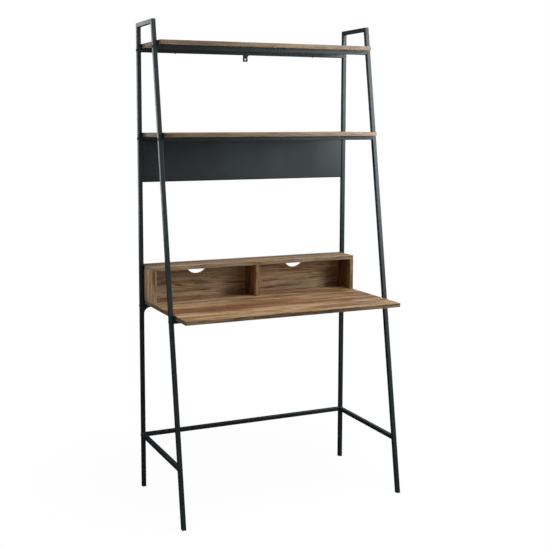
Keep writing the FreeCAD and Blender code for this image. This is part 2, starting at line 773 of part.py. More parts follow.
def hutch_fixings():
    """Dowels in the hutch's joints, and the screws that hold it down to the desk."""
    pitch = f"{DOWEL_REAR} - {DOWEL_FRONT}"
    centre = (HUTCH_COLUMNS[0], DOWEL_FRONT)
    dowels = new_body("hutch_dowels")
    add_rod(dowels, "dowel", "XY_Plane", ("0", "0", f"{HUTCH_UNDER} - sizes.dowel_in_side"), centre,
            "sizes.dowel_radius", "sizes.dowel_in_side + sizes.dowel_in_top")
    back_dowels = new_body("hutch_back_dowels")
    add_rod(back_dowels, "dowel", "YZ_Plane", (f"-({HUTCH_INNER} + sizes.back_dowel_depth)", "0", "0"),
            (BACK_MIDDLE, BACK_DOWEL_LOW), "sizes.back_dowel_radius", "2 * sizes.back_dowel_depth")
    repeat_along(back_dowels, "Z_Axis", f"{BACK_DOWEL_HIGH} - {BACK_DOWEL_LOW}")
    repeat_other_side(back_dowels)
    screws = new_body("hutch_screws")
    seat = f"sizes.desk_height - {BOARD} + sizes.hutch_screw_sink"
    length = f"{BOARD} - sizes.hutch_screw_sink + sizes.hutch_screw_bite"
    upward_screw(screws, centre, seat, length)
    for body in (dowels, screws):
        repeat_along(body, "Y_Axis", pitch)
        repeat_along(body, "X_Axis", f"2 * {SIDE_MIDDLE}", copies=len(HUTCH_COLUMNS))


def hutch_screw_ways(desk_board):
    """Counterbored holes through the desk for the screws of the hutch."""
    under = f"sizes.desk_height - {BOARD}"
    spots = []
    for across in HUTCH_COLUMNS:
        spots.append((across, DOWEL_FRONT))
        spots.append((across, DOWEL_REAR))
    drill(desk_board, "hutch_screw_holes", "XY_Plane", ("0", "0", "sizes.desk_height"), spots,
          SCREW_HOLE)
    drill(desk_board, "hutch_screw_heads", "XY_Plane", ("0", "0", under), spots,
          "(sizes.screw_head_radius + sizes.hole_play)", "sizes.hutch_screw_sink", reverse=True)


# ---------------------------------------------------------------------------- wall tab

def wall_tab():
    """Tab for a wall strap, welded under the top shelf's rear rail, with one coved side."""
    body = new_body("wall_strap_tab")
    half = "sizes.tab_width / 2"
    corner = "sizes.tab_corner"
    web = "sizes.tab_web"
    top = f"({rail_height('top_shelf')} - {TUBE} / 2)"
    bottom = f"({top} - sizes.tab_drop)"
    cove = (f"{half} + {web}", f"{top} - {web}")
    corners = [
        (f"-{half}", top),
        (f"-{half}", f"{bottom} + {corner}", (f"{corner} - {half}", f"{bottom} + {corner}")),
        (f"{corner} - {half}", bottom),
        (f"{half} - {corner}", bottom, (f"{half} - {corner}", f"{bottom} + {corner}")),
        (half, f"{bottom} + {corner}"),
        (half, f"{top} - {web}", cove),
        (f"{half} + {web}", top),
    ]
    sketch = new_sketch(body, "tab", "XZ_Plane", ("0", REAR, "0"))
    add_outline(sketch, corners)
    add_circle(sketch, ("0", f"{bottom} + sizes.tab_hole_rise"), "sizes.tab_hole_radius")
    raise_pad(body, sketch, "sizes.tab_thickness")


# ---------------------------------------------------------------------------- the whole desk

for side_name, side_sign in SIDES.items():
    side_frame(side_name)
    gusset(side_name, side_sign)
boards = {level_name: shelf_level(level_name) for level_name in BOARD_TOPS}
hutch_screw_ways(boards["desk"])
cross_bar()
back_panel()
panel_screws()
hutch()
hutch_fixings()
wall_tab()
document.recompute()

for item in document.Objects:
    if "Invalid" in item.State or "Error" in item.State:
        raise ValueError(f"{item.Label} failed: {item.State}")
for part in sub_parts:
    if part.Shape.isNull() or not part.Shape.isValid() or not part.Shape.Solids:
        raise ValueError(f"{part.Label} is no valid solid")

os.makedirs("parts", exist_ok=True)
for part in sub_parts:
    part.Shape.exportStep(f"parts/{part.Label}.step")
print(f"{len(sub_parts)} nodes, {sum(len(part.Shape.Solids) for part in sub_parts)} solids")
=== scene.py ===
"""Looks of the ladder desk: laminate boards, powder-coated steel, fixings, welds and the studio.

Laid out as an add-on and run as a script. Everything is in metres, +Z up, the front of the desk
towards -Y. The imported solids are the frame; small pieces whose finish needs a finer shape than
the solids have are modelled here and stand in for them.
"""
import json
import math

import bmesh
import bpy
import numpy as np
from bpy.props import FloatProperty, FloatVectorProperty, PointerProperty
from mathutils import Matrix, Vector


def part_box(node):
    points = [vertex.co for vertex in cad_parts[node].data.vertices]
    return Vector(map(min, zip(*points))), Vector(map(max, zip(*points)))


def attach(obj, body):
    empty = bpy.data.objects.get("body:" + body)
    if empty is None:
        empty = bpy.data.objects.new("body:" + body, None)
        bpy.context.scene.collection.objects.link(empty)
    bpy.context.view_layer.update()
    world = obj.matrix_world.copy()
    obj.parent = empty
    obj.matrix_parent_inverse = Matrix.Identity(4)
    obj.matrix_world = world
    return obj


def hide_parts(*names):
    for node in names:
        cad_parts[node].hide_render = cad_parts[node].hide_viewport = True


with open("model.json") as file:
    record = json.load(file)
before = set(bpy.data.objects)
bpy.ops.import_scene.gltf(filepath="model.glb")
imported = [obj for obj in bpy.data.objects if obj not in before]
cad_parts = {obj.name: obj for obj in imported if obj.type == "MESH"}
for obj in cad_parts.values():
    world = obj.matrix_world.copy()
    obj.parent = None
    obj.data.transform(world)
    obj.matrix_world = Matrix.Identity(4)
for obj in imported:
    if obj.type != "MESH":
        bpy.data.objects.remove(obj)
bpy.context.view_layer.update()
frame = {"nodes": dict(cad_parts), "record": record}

bl_info = {
    "name": "Ladder desk looks",
    "version": (1, 0, 0),
    "blender": (4, 5, 0),
    "location": "3D View > Sidebar > Ladder desk",
    "description": "Finishes, fixings and studio of the ladder desk",
    "category": "Object",
}

NODES = frame["nodes"]
TURN = 2 * math.pi


# ---------------------------------------------------------------------------- settings

def colour(name, description, default):
    return FloatVectorProperty(name=name, description=description, subtype="COLOR", size=3,
                               min=0.0, max=1.0, default=default)


def length(name, description, default):
    return FloatProperty(name=name, description=description, subtype="DISTANCE", unit="LENGTH",
                         min=0.0, precision=5, default=default)


def share(name, description, default):
    return FloatProperty(name=name, description=description, subtype="FACTOR", min=0.0, max=1.0,
                         default=default)


class LaminateFinish(bpy.types.PropertyGroup):
    """Printed wood-grain face of the boards."""
    pale: colour("Pale grain", "Colour of the light streaks", (0.650, 0.420, 0.215))
    middle: colour("Middle grain", "Colour that most of the face has", (0.290, 0.156, 0.068))
    dark: colour("Dark grain", "Colour of the dark streaks and hairlines", (0.072, 0.036, 0.018))
    heart: colour("Heart colour", "Orange brown of the heartwood band", (0.200, 0.076, 0.026))
    grey: colour("Weathered colour", "Greyish tan of the weathered streaks", (0.520, 0.395, 0.265))
    # The edge tint darkens the front and end faces: partly the glued bands' colour, partly painted
    # shade.
    edge: colour("Edge tint", "Tint of the bands glued on the boards' edges", (0.38, 0.38, 0.38))
    roughness: share("Roughness", "Roughness of the printed face", 0.42)
    gloss: share("Gloss", "Specular level of the printed face", 0.35)
    relief: length("Relief", "Depth of the embossed grain", 0.00005)


class CoatFinish(bpy.types.PropertyGroup):
    """Fine-textured powder coat of the steel."""
    coat: colour("Coat", "Colour of the powder coat", (0.012, 0.016, 0.018))
    sheen: colour("Sheen", "Tint of the coat's reflections", (0.84, 0.97, 1.00))
    roughness: share("Roughness", "Roughness of the coat", 0.38)
    gloss: share("Gloss", "Specular level of the coat", 0.40)
    relief: length("Relief", "Depth of the orange-peel texture", 0.00002)


class FixingSizes(bpy.types.PropertyGroup):
    """Sizes of bolts, screws and weld beads."""
    bolt_head: length("Bolt head", "Radius of a bolt's domed head", 0.0053)
    bolt_shank: length("Bolt shank", "Radius of a bolt's shank", 0.003)
    socket: length("Socket", "Width across the flats of a bolt's socket", 0.004)
    socket_depth: length("Socket depth", "Depth of a bolt's socket", 0.0016)
    screw_head: length("Screw head", "Radius of a screw's pan head", 0.0038)
    screw_shank: length("Screw shank", "Radius of a screw's shank", 0.0019)
    recess: length("Recess", "Length of one arm of a screw's cross recess", 0.0021)
    recess_depth: length("Recess depth", "Depth of a screw's cross recess", 0.0012)
    bead: length("Weld bead", "Radius of a weld bead", 0.0013)
    ripple: length("Weld ripple", "Spacing of the ripples along a weld bead", 0.0012)


class StudioSettings(bpy.types.PropertyGroup):
    """Floor, even light and camera."""
    floor: colour("Floor", "Colour of the floor", (0.96, 0.96, 0.96))
    floor_glow: share("Floor glow", "Share of plain white in the floor near the desk", 0.97)
    ambient: share("Ambient", "Strength of the even light from all round", 0.09)
    lens: FloatProperty(name="Lens", description="Focal length of the camera",
                        subtype="DISTANCE_CAMERA", unit="CAMERA", min=1.0, default=62.967)


class LadderDeskLooks(bpy.types.PropertyGroup):
    """All settings of the ladder desk."""
    laminate: PointerProperty(type=LaminateFinish)
    steel: PointerProperty(type=CoatFinish)
    fixings: PointerProperty(type=FixingSizes)
    studio: PointerProperty(type=StudioSettings)


# ---------------------------------------------------------------------------- shader nodes

class Nodes:
    """Short hand for the nodes of one tree."""

    # A Mix node's first and second inputs and its output, for each kind of data.
    mix_sockets = {"RGBA": (6, 7, 2), "VECTOR": (4, 5, 1)}

    def __init__(self, tree):
        self.tree = tree

    def add(self, kind, **settings):
        node = self.tree.nodes.new(kind)
        for name, value in settings.items():
            setattr(node, name, value)
        return node

    def link(self, value, socket):
        """Joins an output to a socket, or writes a constant on it."""
        if isinstance(value, bpy.types.NodeSocket):
            self.tree.links.new(value, socket)
        else:
            socket.default_value = value

    def math(self, operation, first, second=0.0, third=0.0, clamp=False):
        node = self.add("ShaderNodeMath", operation=operation, use_clamp=clamp)
        for value, socket in zip((first, second, third), node.inputs):
            self.link(value, socket)
        return node.outputs[0]

    def vector(self, operation, first, second=(0.0, 0.0, 0.0)):
        node = self.add("ShaderNodeVectorMath", operation=operation)
        self.link(first, node.inputs[0])
        self.link(second, node.inputs[1])
        return node.outputs[0]

    def split(self, vector):
        node = self.add("ShaderNodeSeparateXYZ")
        self.link(vector, node.inputs[0])
        return node.outputs

    def join(self, x, y, z):
        node = self.add("ShaderNodeCombineXYZ")
        for value, socket in zip((x, y, z), node.inputs):
            self.link(value, socket)
        return node.outputs[0]

    def noise(self, vector, scale=1.0, detail=2.0, roughness=0.5, distortion=0.0):
        node = self.add("ShaderNodeTexNoise")
        self.link(vector, node.inputs["Vector"])
        for name, value in (("Scale", scale), ("Detail", detail), ("Roughness", roughness),
                            ("Distortion", distortion)):
            self.link(value, node.inputs[name])
        return node.outputs["Fac"]

    def spread(self, value, low, high, out_low=0.0, out_high=1.0):
        """Smooth step of a value from one range into another."""
        node = self.add("ShaderNodeMapRange", interpolation_type="SMOOTHSTEP")
        for item, socket in zip((value, low, high, out_low, out_high), node.inputs):
            self.link(item, socket)
        return node.outputs[0]

    def mix(self, factor, first, second, blend="MIX", kind="RGBA"):
        node = self.add("ShaderNodeMix", data_type=kind, blend_type=blend)
        first_input, second_input, output = self.mix_sockets[kind]
        self.link(factor, node.inputs[0])
        self.link(first, node.inputs[first_input])
        self.link(second, node.inputs[second_input])
        return node.outputs[output]

    def group(self, tree, **values):
        node = self.add("ShaderNodeGroup", node_tree=tree)
        for name, value in values.items():
            self.link(value, node.inputs[name.replace("_", " ")])
        return node.outputs

    def object_place(self):
        return self.add("ShaderNodeTexCoord").outputs["Object"]

    def bump(self, height, distance):
        node = self.add("ShaderNodeBump")
        node.inputs["Strength"].default_value = 1.0
        node.inputs["Distance"].default_value = distance
        self.link(height, node.inputs["Height"])
        return node.outputs["Normal"]


def new_group(name, inputs, outputs):
    """Shader node group with named sockets: {socket name: kind}."""
    tree = bpy.data.node_groups.new(name, "ShaderNodeTree")
    for in_out, sockets in (("INPUT", inputs), ("OUTPUT", outputs)):
        for socket, kind in sockets.items():
            tree.interface.new_socket(name=socket, in_out=in_out, socket_type=f"NodeSocket{kind}")
    nodes = Nodes(tree)
    return tree, nodes, nodes.add("NodeGroupInput").outputs, nodes.add("NodeGroupOutput").inputs


def arris_group():
    """Distance to a board's nearest arris, and masks of its ends and of its front and rear.

    The distance is the middle one of the distances to the three nearer faces.
    """
    on_face = 0.0002
    tree, nodes, given, out = new_group(
        "arris_distance", {"Place": "Vector", "Low": "Vector", "High": "Vector"},
        {"Distance": "Float", "End": "Float", "Front": "Float"})
    from_low = nodes.vector("SUBTRACT", given["Place"], given["Low"])
    from_high = nodes.vector("SUBTRACT", given["High"], given["Place"])
    nearest = nodes.split(nodes.vector("MINIMUM", from_low, from_high))
    lesser = nodes.math("MINIMUM", nearest[0], nearest[1])
    greater = nodes.math("MAXIMUM", nearest[0], nearest[1])
    middle = nodes.math("MAXIMUM", lesser, nodes.math("MINIMUM", greater, nearest[2]))
    nodes.link(middle, out["Distance"])
    nodes.link(nodes.math("LESS_THAN", nearest[0], on_face), out["End"])
    nodes.link(nodes.math("LESS_THAN", nearest[1], on_face), out["Front"])
    return tree


def grain_group():
    """Printed wood grain that runs along the first coordinate of the place it is given.

    Every layer is noise drawn out along the grain, with its rates along and across given per
    metre. Heartwood lies in a band across the grain; weathering greys the face and thins the
    dark layers.
    """
    tree, nodes, given, out = new_group(
        "laminate_grain",
        {"Place": "Vector", "Heart Place": "Float", "Heart Reach": "Float", "Weather": "Float",
         "Pale": "Color", "Middle": "Color", "Dark": "Color", "Heart": "Color", "Grey": "Color"},
        {"Color": "Color", "Height": "Float", "Roughness Shift": "Float"})
    place = given["Place"]
    sway_rates, sway_width = (1.7, 5.0, 5.0), 0.022
    sway = nodes.noise(nodes.vector("MULTIPLY", place, sway_rates), detail=2.0)
    sway = nodes.math("MULTIPLY", nodes.math("SUBTRACT", sway, 0.5), sway_width)
    place = nodes.vector("ADD", place, nodes.join(0.0, sway, sway))

    def streaks(along, across, detail, roughness=0.55, distortion=0.0):
        stretched = nodes.vector("MULTIPLY", place, (along, across, across))
        return nodes.noise(stretched, detail=detail, roughness=roughness, distortion=distortion)

    def layer(low, high, *stretch, least=0.0, **character):
        """Streaks turned into a mask that rises from least to one between two levels."""
        return nodes.spread(streaks(*stretch, **character), low, high, least, 1.0)

    bands = layer(0.40, 0.58, 2.2, 20.0, detail=4.0, roughness=0.6)
    figure = layer(0.40, 0.58, 8.0, 150.0, detail=4.0, roughness=0.65)
    fibres = streaks(14.0, 900.0, detail=3.0, roughness=0.6)
    # Weathering sets in at a lower level of its noise where more of it is asked for.
    onset = nodes.math("MULTIPLY_ADD", given["Weather"], -0.30, 0.66)
    weather = layer(onset, nodes.math("ADD", onset, 0.14), 2.6, 30.0, detail=2.0)
    smoke = layer(0.50, 0.68, 6.0, 42.0, detail=5.0, roughness=0.65, distortion=0.15)
    cracks = nodes.math("MULTIPLY", layer(0.53, 0.58, 13.0, 260.0, detail=2.0, roughness=0.5),
                        layer(0.42, 0.56, 6.0, 40.0, detail=2.0))
    pores = nodes.math("MULTIPLY", layer(0.57, 0.64, 50.0, 1300.0, detail=1.0, roughness=0.4),
                       layer(0.40, 0.60, 7.0, 110.0, detail=2.0, least=0.2))

    heart_core, heart_fade = 0.45, 1.15
    across = nodes.math("SUBTRACT", nodes.split(place)[1], given["Heart Place"])
    across = nodes.math("DIVIDE", nodes.math("ABSOLUTE", across), given["Heart Reach"])
    heart = nodes.math("MULTIPLY", nodes.spread(across, heart_core, heart_fade, 1.0, 0.0),
                       layer(0.34, 0.56, 3.0, 40.0, detail=3.0, least=0.35))

    def over(tone, mask, share, colour_name):
        """One of the given colours laid over a tone, with a share of the mask."""
        return nodes.mix(nodes.math("MULTIPLY", mask, share), tone, given[colour_name])

    def thinned(share, loss):
        """Share of a dark layer, with that loss where the face is weathered."""
        return nodes.math("MULTIPLY_ADD", weather, -loss, share)

    gaps = nodes.math("SUBTRACT", 1.0, figure)
    smoke_share = nodes.math("MULTIPLY_ADD", heart, 0.3, thinned(0.62, 0.45))
    tone = nodes.mix(bands, given["Middle"], given["Pale"])
    tone = over(tone, weather, 0.7, "Grey")
    tone = over(tone, heart, 0.9, "Heart")
    tone = over(tone, gaps, thinned(0.58, 0.22), "Dark")
    tone = over(tone, smoke, smoke_share, "Dark")
    tone = over(tone, cracks, thinned(0.85, 0.4), "Dark")
    tone = over(tone, pores, 0.45, "Dark")

    darkest_fibre, palest_fibre = 0.82, 1.24
    fibre_light = nodes.spread(fibres, 0.25, 0.75, darkest_fibre, palest_fibre)
    tint = nodes.add("ShaderNodeCombineColor")
    for socket in tint.inputs:
        nodes.link(fibre_light, socket)
    nodes.link(nodes.mix(1.0, tone, tint.outputs[0], "MULTIPLY"), out["Color"])

    dents = nodes.math("MULTIPLY", nodes.math("MAXIMUM", cracks, pores), 0.5)
    ridges = nodes.math("MULTIPLY", fibres, 0.6)
    nodes.link(nodes.math("SUBTRACT", ridges, dents), out["Height"])
    shift = nodes.math("MULTIPLY", nodes.math("SUBTRACT", fibres, 0.5), 0.25)
    duller = nodes.math("MULTIPLY", cracks, 0.12)
    nodes.link(nodes.math("ADD", shift, duller), out["Roughness Shift"])
    return tree


def speckle_group():
    """Fine pebbled skin: even small bumps, and a slow change of sheen over a hand's width."""
    tree, nodes, given, out = new_group(
        "pebbled_skin", {"Place": "Vector", "Pitch": "Float"},
        {"Height": "Float", "Cloud": "Float"})
    pebbles_per_metre = nodes.math("DIVIDE", 1.0, given["Pitch"])
    clouds_per_metre = 9.0
    nodes.link(nodes.noise(given["Place"], pebbles_per_metre, 2.0, 0.6), out["Height"])
    nodes.link(nodes.noise(given["Place"], clouds_per_metre, 3.0, 0.5), out["Cloud"])
    return tree


def group_tree(name, maker):
    """The node group of that name, made once."""
    return bpy.data.node_groups.get(name) or maker()


def new_material(name):
    """Material with one Principled surface; returns it with its nodes and that surface."""
    material = bpy.data.materials.new(name)
    material.use_nodes = True
    material.node_tree.nodes.clear()
    nodes = Nodes(material.node_tree)
    surface = nodes.add("ShaderNodeBsdfPrincipled")
    output = nodes.add("ShaderNodeOutputMaterial")
    nodes.link(surface.outputs[0], output.inputs["Surface"])
    return material, nodes, surface


def dress(piece, material):
    """Puts one material on all of a piece."""
    if not piece.material_slots:
        piece.data.materials.append(material)
    for slot in piece.material_slots:
        slot.material = material


# ---------------------------------------------------------------------------- finishes

BAND_THICKNESS = 0.0006
SEAM_CORE, SEAM_FADE, SEAM_SHARE = 0.00005, 0.00016, 0.55
WORN_REACH, WORN_SHARE = 0.0007, 0.35
FRONT_SMOOTHER, END_ROUGHER = 0.10, 0.15
END_PRINT_OFFSET = 0.31


def laminate(node, finish, along, shift, heart_place, heart_reach, band_tint_and_shade, weather):
    """Laminate for one board, cut from an endless print at a shift of its own.

    The grain runs along an axis, and along the ends on the bands glued there. A dark seam lies
    one band's thickness from each arris, and the arris itself is worn paler. The heartwood band
    lies at a place across the grain, in the board's own coordinates. The band tint and shade is
    how much of the edge tint the banded faces take: partly the glued bands' colour, partly painted
    shade on the front and end faces. Weather is how much of the face is weathered to grey.
    """
    material, nodes, surface = new_material(f"laminate_{node}")
    low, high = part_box(node)
    place = nodes.object_place()
    arris = nodes.group(group_tree("arris_distance", arris_group), Place=place, Low=tuple(low),
                        High=tuple(high))
    x, y, z = nodes.split(nodes.vector("ADD", place, shift))
    if along == "Z":
        turned = nodes.join(z, y, x)
        edges = arris["Front"]
    else:
        ends = nodes.join(y, nodes.math("ADD", z, END_PRINT_OFFSET), x)
        turned = nodes.mix(arris["End"], nodes.join(x, y, z), ends, kind="VECTOR")
        edges = nodes.math("MAXIMUM", arris["End"], arris["Front"])
    pale, middle, dark, heart, grey, edge = (
        (*tone, 1.0) for tone in (finish.pale, finish.middle, finish.dark, finish.heart,
                                  finish.grey, finish.edge))
    grain = nodes.group(group_tree("laminate_grain", grain_group), Place=turned,
                        Heart_Place=heart_place + shift[1], Heart_Reach=heart_reach,
                        Weather=weather, Pale=pale, Middle=middle, Dark=dark, Heart=heart,
                        Grey=grey)

    seam = nodes.math("ABSOLUTE", nodes.math("SUBTRACT", arris["Distance"], BAND_THICKNESS))
    seam = nodes.spread(seam, SEAM_CORE, SEAM_FADE, 1.0, 0.0)
    worn = nodes.spread(arris["Distance"], 0.0, WORN_REACH, WORN_SHARE, 0.0)
    # Edge tint on the banded faces: partly the glued bands' colour, partly painted shade on the
    # front and end faces.
    tone = nodes.mix(nodes.math("MULTIPLY", edges, band_tint_and_shade), grain["Color"], edge, "MULTIPLY")
    tone = nodes.mix(nodes.math("MULTIPLY", seam, SEAM_SHARE), tone, dark)
    nodes.link(nodes.mix(worn, tone, pale), surface.inputs["Base Color"])

    rough = nodes.math("MULTIPLY_ADD", arris["Front"], -FRONT_SMOOTHER, finish.roughness)
    rough = nodes.math("MULTIPLY_ADD", arris["End"], END_ROUGHER, rough)
    rough = nodes.math("ADD", grain["Roughness Shift"], rough, clamp=True)
    nodes.link(rough, surface.inputs["Roughness"])
    surface.inputs["Specular IOR Level"].default_value = finish.gloss
    height = nodes.math("SUBTRACT", grain["Height"], seam)
    nodes.link(nodes.bump(height, finish.relief), surface.inputs["Normal"])
    return material


def skin(name, tint, roughness, relief, pitch, metallic=0.0, gloss=0.5, sheen=(1.0, 1.0, 1.0)):
    """Even coat or moulded skin with a pebbled surface and a slowly changing sheen.

    Its colour drifts between a deeper and a paler tone with the same slow cloud.
    """
    deepest, palest, sheen_drift = 0.8, 1.25, 0.12
    material, nodes, surface = new_material(name)
    pebbles = nodes.group(group_tree("pebbled_skin", speckle_group), Place=nodes.object_place(),
                          Pitch=pitch)
    deeper = (*(channel * deepest for channel in tint), 1.0)
    paler = (*(min(1.0, channel * palest) for channel in tint), 1.0)
    drift = nodes.mix(nodes.spread(pebbles["Cloud"], 0.3, 0.7), deeper, paler)
    nodes.link(drift, surface.inputs["Base Color"])
    cloud = nodes.math("SUBTRACT", pebbles["Cloud"], 0.5)
    rough = nodes.math("MULTIPLY_ADD", cloud, sheen_drift, roughness)
    nodes.link(rough, surface.inputs["Roughness"])
    surface.inputs["Metallic"].default_value = metallic
    surface.inputs["Specular IOR Level"].default_value = gloss
    surface.inputs["Specular Tint"].default_value = (*sheen, 1.0)
    nodes.link(nodes.bump(pebbles["Height"], relief), surface.inputs["Normal"])
    return material


# ---------------------------------------------------------------------------- meshes

SHARP_ANGLE = math.radians(35)
MERGE_REACH, SLIVER_LENGTH = 1e-6, 1e-7


def grid_faces(rows, columns):
    """Quads of a grid of vertices whose last column joins its first."""
    row = np.arange(rows - 1)[:, None]
    column = np.arange(columns)[None, :]
    after = (column + 1) % columns
    corners = (row * columns + column, row * columns + after,
               (row + 1) * columns + after, (row + 1) * columns + column)
    return np.stack([corner.ravel() for corner in corners], axis=1)


def piece_from_grids(name, grids):
    """One piece of several alike tubes, given as an array (copies, rows, columns, 3)."""
    copies, rows, columns, _ = grids.shape
    quads = grid_faces(rows, columns)
    starts = np.arange(copies)[:, None, None] * rows * columns
    faces = (quads[None] + starts).reshape(-1, 4)
    mesh = bpy.data.meshes.new(name)
    mesh.from_pydata(grids.reshape(-1, 3), [], faces)
    piece = bpy.data.objects.new(name, mesh)
    bpy.context.scene.collection.objects.link(piece)
    close_seams(mesh)
    mesh.shade_smooth()
    mesh.set_sharp_from_angle(angle=SHARP_ANGLE)
    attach(piece, "root")
    return piece


def close_seams(mesh):
    """Merges the vertices that meet at poles and seams, and turns all faces outwards."""
    work = bmesh.new()
    work.from_mesh(mesh)
    bmesh.ops.remove_doubles(work, verts=work.verts, dist=MERGE_REACH)
    bmesh.ops.dissolve_degenerate(work, edges=work.edges, dist=SLIVER_LENGTH)
    bmesh.ops.recalc_face_normals(work, faces=work.faces)
    work.to_mesh(mesh)
    work.free()


def hexagon(angle, flats):
    """Radius of a hexagon: half its flats over the cosine of the angle from the nearest flat."""
    sector = TURN / 6
    return flats / 2 / np.cos((angle + sector / 2) % sector - sector / 2)


def cross(angle, arm, slimness=0.28):
    """Radius of a cross at an angle: the nearer of the arm's end and the arm's side.

    Slimness is half of an arm's width over its length.
    """
    sector = TURN / 4
    turned = (angle + sector / 2) % sector - sector / 2
    side = arm * slimness / np.maximum(np.abs(np.sin(turned)), 1e-6)
    return np.minimum(arm / np.cos(turned), side)


def fixing_surface(head, shank, head_height, shank_length, recess, recess_depth, columns=48):
    """Domed fixing along +Z, its seat at z = 0, as rows of rings from the shank's end up.

    Round rows are given as (radius, height), and the recess's rows as (share of its outline,
    height). The dome falls from the recess's rim to the head's edge as the square root of one
    minus the square of the radius share; the recess's rows take their radius from an outline
    function of the angle instead of a circle.
    """
    rim_margin, edge_share, roundness, chamfer, dome_rings = 1.12, 0.35, 0.98, 0.3, 7
    angle = np.arange(columns) * TURN / columns
    circle = np.ones(columns)
    outline = recess(angle)
    rim = outline.max() * rim_margin
    edge = head_height * edge_share
    shares = np.linspace(1.0, rim / head, dome_rings)
    reach = np.sqrt(1 - (shares * roundness) ** 2)
    dome = edge + (head_height - edge) * (reach - reach[0]) / (reach[-1] - reach[0])
    round_rows = [(0.0, -shank_length), (shank * (1 - chamfer), -shank_length),
                  (shank, -shank_length + shank * chamfer), (shank, 0.0), (head, 0.0),
                  *zip(shares * head, dome)]
    # The recess has a softened mouth, walls with a little draft and a shallow point at the bottom.
    floor = head_height - recess_depth
    recess_rows = [(1.0, head_height), (0.93, head_height - recess_depth * 0.2),
                   (0.85, floor), (0.0, floor - recess_depth * 0.15)]
    radius = np.array([row * circle for row, _ in round_rows] +
                      [share_of_outline * outline for share_of_outline, _ in recess_rows])
    height = np.array([row for _, row in round_rows + recess_rows])[:, None] * circle
    return np.stack([radius * np.cos(angle), radius * np.sin(angle), height], axis=-1)


def solid_boxes(node, splits):
    """Lowest and highest corners of a node's separate solids, parted at the middle of some axes."""
    vertices = NODES[node].data.vertices
    points = np.empty(len(vertices) * 3, np.float32)
    vertices.foreach_get("co", points)
    points = points.reshape(-1, 3)
    middle = (points.min(axis=0) + points.max(axis=0)) / 2
    side = (points[:, splits] > middle[splits]).astype(int) @ (2 ** np.arange(len(splits)))
    found = []
    for number in range(2 ** len(splits)):
        own = points[side == number]
        found.append((own.min(axis=0), own.max(axis=0)))
    return found


def placed(surface, seat, outwards):
    """A fixing's surface moved to its seat, with its axis turned to an outward direction."""
    axis = np.array(outwards, float)
    helper = np.array((0.0, 0.0, 1.0)) if abs(axis[2]) < 0.5 else np.array((1.0, 0.0, 0.0))
    across = np.cross(helper, axis)
    across /= np.linalg.norm(across)
    basis = np.stack([across, np.cross(axis, across), axis])
    return surface @ basis + np.array(seat)


def weld_beads(starts, ends, first, second, radius, pitch, rows=40, columns=9):
    """Quarter-round beads in the corners between two faces, one for each line from start to end.

    At share t of its length a bead's radius is r (1 - (2t - 1)^8) (1 + 0.12 cos(turns of ripple)),
    and around the corner it goes from the first face's direction to the second's.
    """
    ripple_depth, least_swell, root_depth = 0.12, 0.02, 0.0003
    starts, ends, first, second = (np.array(item, float) for item in (starts, ends, first, second))
    share_along = np.linspace(0.0, 1.0, rows)
    lengths = np.linalg.norm(ends - starts, axis=1)
    ripple = 1 + ripple_depth * np.cos(TURN * lengths[:, None] / pitch * share_along)
    swell = np.maximum(1 - (2 * share_along - 1) ** 8, least_swell)
    size = radius * swell * ripple
    spine = starts[:, None] + (ends - starts)[:, None] * share_along[None, :, None]
    angle = np.linspace(0.0, TURN / 4, columns - 1)[None, :, None]
    towards = np.cos(angle) * first[:, None] + np.sin(angle) * second[:, None]
    outer = spine[:, :, None] + size[:, :, None, None] * towards[:, None]
    root = spine[:, :, None] - root_depth * (first + second)[:, None, None]
    rings = np.concatenate([outer, root], axis=2)
    caps = rings.mean(axis=2, keepdims=True) * np.ones((1, 1, columns, 1))
    return np.concatenate([caps[:, :1], rings, caps[:, -1:]], axis=1)


# ---------------------------------------------------------------------------- operators

# For each board: the axis of its grain, its shift in the endless print, the middle and half width
# of its heartwood band, how much tint its edges have (the glued bands' colour and painted shade on
# the front and end faces) and how weathered it is.
SHELF_LOOKS = {
    "desk_board": ("X", (3.1, 0.42, 0.0), -0.057, 0.062, 1.0, 0.4),
    "middle_shelf_board": ("X", (4.6, 1.9, 0.4), 0.1, 0.03, 1.0, 1.1),
    "top_shelf_board": ("X", (13.9, 0.9, 0.7), 0.12, 0.03, 1.0, 1.1),
}
HUTCH_LOOKS = {
    "hutch_top": ("X", (2.9, 7.3, 0.9), 0.21, 0.02, 0.6, 0.9),
    "hutch_back": ("X", (1.4, 2.1, 0.6), 0.0, 0.02, 0.0, 0.9),
    "hutch_side_left": ("Z", (0.3, 1.1, 2.2), 0.2, 0.005, 0.2, 0.7),
    # The divider and the right upright lie wholly in their heartwood band: a darker tone that is
    # partly painted shade for their inner faces deep in the hutch's bays.
    "hutch_divider": ("Z", (0.8, 0.1, 1.2), 0.2, 0.09, 0.4, 0.5),
    "hutch_side_right": ("Z", (0.5, 0.7, 4.2), 0.2, 0.09, 0.5, 0.5),
}


class BoardsOperator(bpy.types.Operator):
    """Laminate on the desk board and the two shelves"""
    bl_idname = "ladder_desk.boards"
    bl_label = "Boards"

    def execute(self, context):
        for node, look in SHELF_LOOKS.items():
            dress(NODES[node], laminate(node, context.scene.ladder_desk.laminate, *look))
        return {"FINISHED"}


class HutchOperator(bpy.types.Operator):
    """Laminate on the hutch, with upright grain on its uprights, and beech dowels"""
    bl_idname = "ladder_desk.hutch"
    bl_label = "Hutch"

    def execute(self, context):
        for node, look in HUTCH_LOOKS.items():
            dress(NODES[node], laminate(node, context.scene.ladder_desk.laminate, *look))
        beech = skin("dowel_beech", tint=(0.58, 0.40, 0.22), roughness=0.6, relief=0.00005,
                     pitch=0.0008)
        for node in ("hutch_dowels", "hutch_back_dowels"):
            dress(NODES[node], beech)
        return {"FINISHED"}


